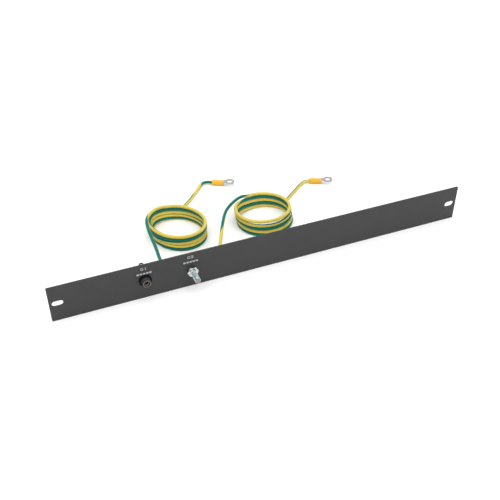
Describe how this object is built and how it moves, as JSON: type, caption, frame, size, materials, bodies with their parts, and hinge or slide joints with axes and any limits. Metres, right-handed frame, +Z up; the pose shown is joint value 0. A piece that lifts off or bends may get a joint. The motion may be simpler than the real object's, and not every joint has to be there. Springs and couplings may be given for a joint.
{
  "type": "rack grounding panel",
  "caption": "Black 19-inch 1U rack panel with a banana grounding jack, a threaded clip post and coiled green and yellow earth leads ending in ring terminals.",
  "frame": {"origin": "bottom edge of the plate, halfway along it and halfway through its thickness", "axes": "+X along the plate to the right as seen from the front, +Y to the rear, +Z up"},
  "size_m": [0.4826, 0.2054, 0.0437],
  "materials": {
    "panel_paint": "fine matt black powder coat",
    "black_moulding": "black moulded plastic, slight sheen",
    "brass": "turned, bright",
    "plated_steel": "nickel plated, satin",
    "tinned_metal": "tinned copper, satin",
    "zinc": "bright zinc plate with a faint blue-green cast",
    "lead_insulation": "semi-gloss PVC, half yellow and half green in two long bands",
    "yellow_sleeve": "moulded vinyl, orange-yellow, semi-gloss"
  },
  "bodies": {
    "root": {"panel": "panel_paint", "jack_housing": "black_moulding", "jack_contact": "brass", "jack_washer": "black_moulding", "jack_lock_nut": "plated_steel", "jack_solder_tag": "tinned_metal", "jack_spring_washer": "plated_steel", "jack_rear_nut": "plated_steel", "post_stud": "zinc", "post_front_nut": "zinc", "post_tooth_washer": "plated_steel", "post_clamp_nut": "zinc", "post_spring_washer": "plated_steel", "post_rear_nut": "zinc", "lead_1_lug": "tinned_metal", "lead_1_front": "lead_insulation", "lead_1_coil": "lead_insulation", "lead_1_tail": "lead_insulation", "lead_1_terminal": "tinned_metal", "lead_1_sleeve": "yellow_sleeve", "lead_2_lug": "tinned_metal", "lead_2_front": "lead_insulation", "lead_2_coil": "lead_insulation", "lead_2_tail": "lead_insulation", "lead_2_terminal": "tinned_metal", "lead_2_sleeve": "yellow_sleeve"}
  },
  "joints": []
}
